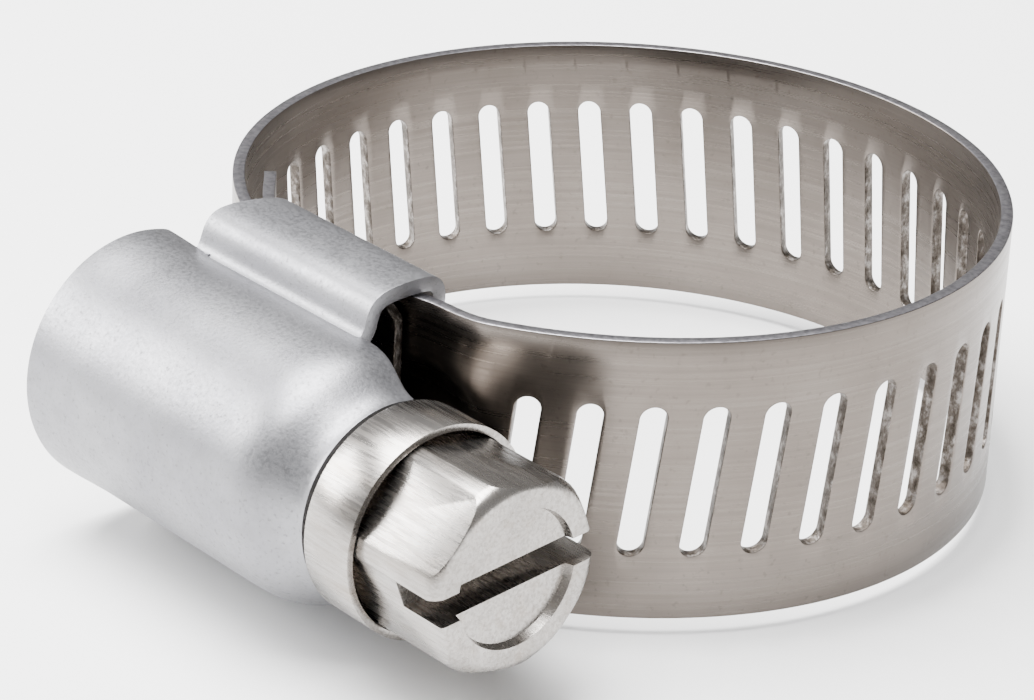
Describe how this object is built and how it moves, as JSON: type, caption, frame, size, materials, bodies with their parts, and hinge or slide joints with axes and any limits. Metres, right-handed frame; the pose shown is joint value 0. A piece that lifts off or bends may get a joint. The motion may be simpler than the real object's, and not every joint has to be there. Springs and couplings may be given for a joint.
{
  "type": "hose clamp",
  "caption": "Worm-drive hose clamp: slotted stainless band, folded housing and slotted hex screw that closes the ring.",
  "frame": {"origin": "under the middle of the clamp's box, on the face of the lower fold it lies on", "axes": "+Z along the ring's axis, +X along the screw towards its head, the housing on the -Y side"},
  "size_m": [0.035, 0.0434, 0.0142],
  "materials": {
    "band_stainless": "cold-rolled stainless strip, smooth and slightly warm grey",
    "housing_stainless": "pressed and tumbled stainless, fine matt speckle",
    "screw_stainless": "cold-formed bright stainless with drawn lines"
  },
  "bodies": {
    "clamp_body": {"housing": "housing_stainless", "band_fixed_end": "band_stainless"},
    "screw": {"worm_screw": "screw_stainless"},
    "closing_arc": {"band_closing_arc": "band_stainless"},
    "free_end": {"band_free_end": "band_stainless"}
  },
  "joints": [
    {"name": "screw_turn", "type": "hinge", "parent": "clamp_body", "child": "screw", "pos_m": [-0.00021, -0.01609, 0.00712], "axis": [-1, 0, 0], "range_deg": [-540, 0]},
    {"name": "far_bend", "type": "hinge", "parent": "clamp_body", "child": "closing_arc", "pos_m": [0.01045, 0.01769, 0.00712], "axis": [0, 0, 1], "range_deg": [-6.44, 0.01]},
    {"name": "mouth_bend", "type": "hinge", "parent": "closing_arc", "child": "free_end", "pos_m": [-0.01087, -0.00886, 0.00712], "axis": [0, 0, 1], "range_deg": [-6.44, 0.01]}
  ],
  "couplings": [
    {"joint": "far_bend", "follows": "screw_turn", "ratio": 0.011905},
    {"joint": "mouth_bend", "follows": "screw_turn", "ratio": 0.011905}
  ]
}
